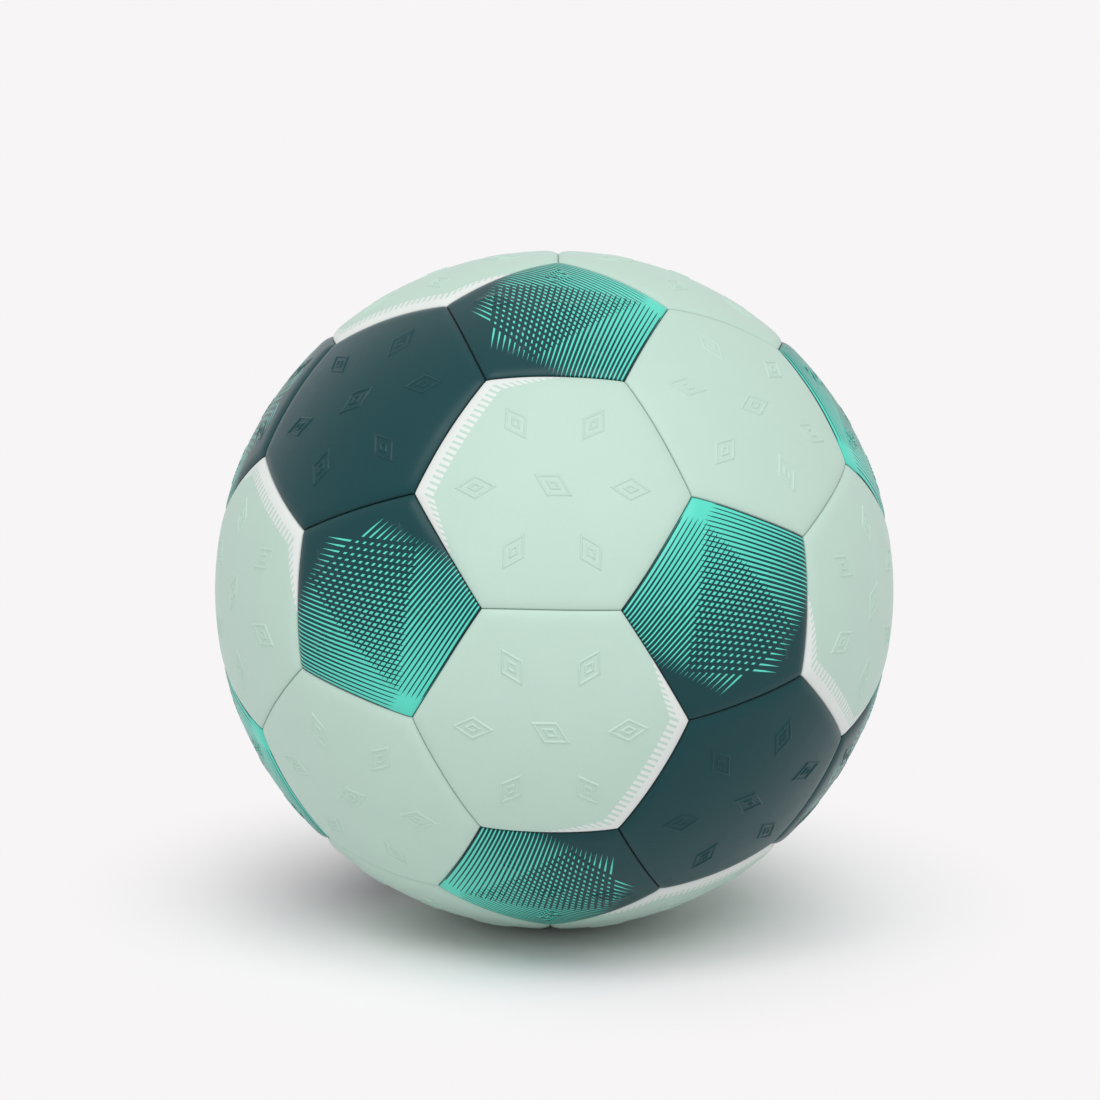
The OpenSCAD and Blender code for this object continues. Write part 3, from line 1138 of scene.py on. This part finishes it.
class Inside:
    """The layers behind the covers, the stitching, the bladder and the valve."""

    def dress(self) -> None:
        """Gives each of these nodes its material."""
        lining = WovenFinish("lining", srgb(226, 226, 220))
        thread = WovenFinish("thread", srgb(230, 232, 224), pitch=0.4 * MM, roughness=0.5)
        foam = FoamFinish("foam", srgb(236, 230, 208))
        layers = {"foam": foam, "lining": lining, "seam_thread": thread}
        finishes = {f"{shape}_{layer}": finish for layer, finish in layers.items()
                    for shape in ("hexagon", "pentagon")}
        finishes |= {
            "bladder": RubberFinish("bladder", srgb(52, 50, 48)),
            "valve_boot": RubberFinish("valve_rubber", srgb(44, 46, 46)),
            "valve_plug": RubberFinish("plug_rubber", srgb(62, 64, 64)),
        }
        built: dict[str, bpy.types.Material] = {}
        for node, finish in finishes.items():
            if finish.name not in built:
                built[finish.name] = finish.build()
            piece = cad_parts[node]
            piece.data.materials.clear()
            piece.data.materials.append(built[finish.name])
            LOG.info("%s: %s", node, finish.name)


@dataclass(frozen=True)
class Viewpoint:
    """The camera, at the photograph's angle and framing.

    Attributes:
        azimuth: Degrees round the ball, from the front towards its right side.
        elevation: Degrees above the floor.
        roll: Degrees that the camera leans.
        radii_away: Distance from the ball's centre, in the ball's radii.
        picture_width: Width of the picture, in pixels.
        radius_in_picture: Radius of the ball, in pixels.
        centre_in_picture: Where the ball's centre lies, in pixels from the top left.
    """

    azimuth: float = 0.42
    elevation: float = 15.01
    roll: float = 0.63
    radii_away: float = 35.97
    picture_width: int = 1100
    radius_in_picture: float = 340.0
    centre_in_picture: tuple[float, float] = (554.3, 589.7)

    def build(self, ball_radius: float) -> None:
        """Makes the camera.

        Args:
            ball_radius: Radius of the ball.
        """
        data = bpy.data.cameras.new("camera")
        picture_radii = self.picture_width / self.radius_in_picture
        data.lens = data.sensor_width * self.radii_away / picture_radii
        middle = self.picture_width / 2
        data.shift_x = (middle - self.centre_in_picture[0]) / self.picture_width
        data.shift_y = (self.centre_in_picture[1] - middle) / self.picture_width
        camera = new_object("camera", data)
        turn = Matrix.Rotation(math.radians(self.azimuth), 4, "Z")
        tilt = Matrix.Rotation(math.radians(90 - self.elevation), 4, "X")
        lean = Matrix.Rotation(math.radians(self.roll), 4, "Z")
        away = Matrix.Translation((0, 0, self.radii_away * ball_radius))
        camera.matrix_world = turn @ tilt @ lean @ away
        bpy.context.scene.camera = camera


@dataclass(frozen=True)
class SoftLamp:
    """A distant lamp with a wide face.

    Attributes:
        name: Its name.
        level: Light that it gives to level ground, where 1 shows a colour as it is written.
        width: Degrees that it spans, as seen from the ball.
        forward: Degrees that it leans to the camera's side.
        right: Degrees that it leans to the right.
    """

    name: str
    level: float
    width: float
    forward: float
    right: float

    def build(self) -> None:
        """Makes the lamp."""
        way = Vector((math.tan(math.radians(self.right)), -math.tan(math.radians(self.forward)), 1))
        data = bpy.data.lights.new(self.name, "SUN")
        data.energy = math.pi * self.level * way.length
        data.angle = math.radians(self.width)
        lamp = new_object(self.name, data)
        lamp.matrix_world = way.to_track_quat("Z", "Y").to_matrix().to_4x4()


@dataclass(frozen=True)
class Studio:
    """A pale floor under soft light.

    Attributes:
        backdrop: Colour of the background.
        floor_colour: Colour of the floor.
        floor_size: Width of the floor.
        fade_from: Distance from the ball's foot from which the floor fades into the backdrop.
        fade_to: Distance at which it looks like the backdrop.
        lamps: The lamps.
        fill: Level of the light from all round.
    """

    backdrop: Colour = srgb(247, 245, 246)
    floor_colour: Colour = srgb(245, 243, 244)
    floor_size: float = 12.0
    fade_from: float = 44 * MM
    fade_to: float = 140 * MM
    lamps: tuple[SoftLamp, ...] = (
        SoftLamp("key", level=0.38, width=45, forward=30, right=12),
        SoftLamp("side", level=0.155, width=24, forward=30, right=-25),
    )
    fill: float = 0.52

    def build_lights(self) -> None:
        """Makes the lamps and the light from all round."""
        for lamp in self.lamps:
            lamp.build()
        world = bpy.data.worlds.new("studio")
        nodes = Nodes(world, "Background", "World Output")
        nodes.set(Color=(1.0, 1.0, 1.0), Strength=self.fill)
        nodes.show("Background", self.backdrop, 1.0)
        bpy.context.scene.world = world

    def build_floor(self, height: float) -> None:
        """Makes the floor.

        Args:
            height: Height of its surface.
        """
        bm = bmesh.new()
        bmesh.ops.create_grid(bm, x_segments=1, y_segments=1, size=self.floor_size / 2)
        mesh = bpy.data.meshes.new("floor")
        bm.to_mesh(mesh)
        bm.free()
        material = bpy.data.materials.new("floor")
        surface = Nodes(material)
        surface.set(Base_Color=self.floor_colour, Roughness=1.0, Specular_IOR_Level=0.0)
        foot = surface.node("VectorMath", {"operation": "LENGTH"}, {0: surface.place()}, "Value")
        away = surface.node("MapRange", {"interpolation_type": "SMOOTHSTEP"},
                            {"Value": foot, "From Min": self.fade_from, "From Max": self.fade_to})
        surface.show("Emission", self.backdrop, away)
        material.cycles.emission_sampling = "NONE"
        mesh.materials.append(material)
        floor = new_object("floor", mesh)
        floor.location.z = height
        floor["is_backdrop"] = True


def main() -> None:
    """Builds the covers, dresses the rest, and sets up the studio."""
    logging.basicConfig(level=logging.INFO, format="%(message)s")
    low, high = CAD_BOX
    Viewpoint().build((high.x - low.x) / 2)
    Covers(PanelLayout()).build()
    Inside().dress()
    studio = Studio()
    studio.build_lights()
    studio.build_floor(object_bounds()[0].z)
    bpy.context.scene.view_settings.view_transform = "Standard"


if __name__ == "__main__":
    main()
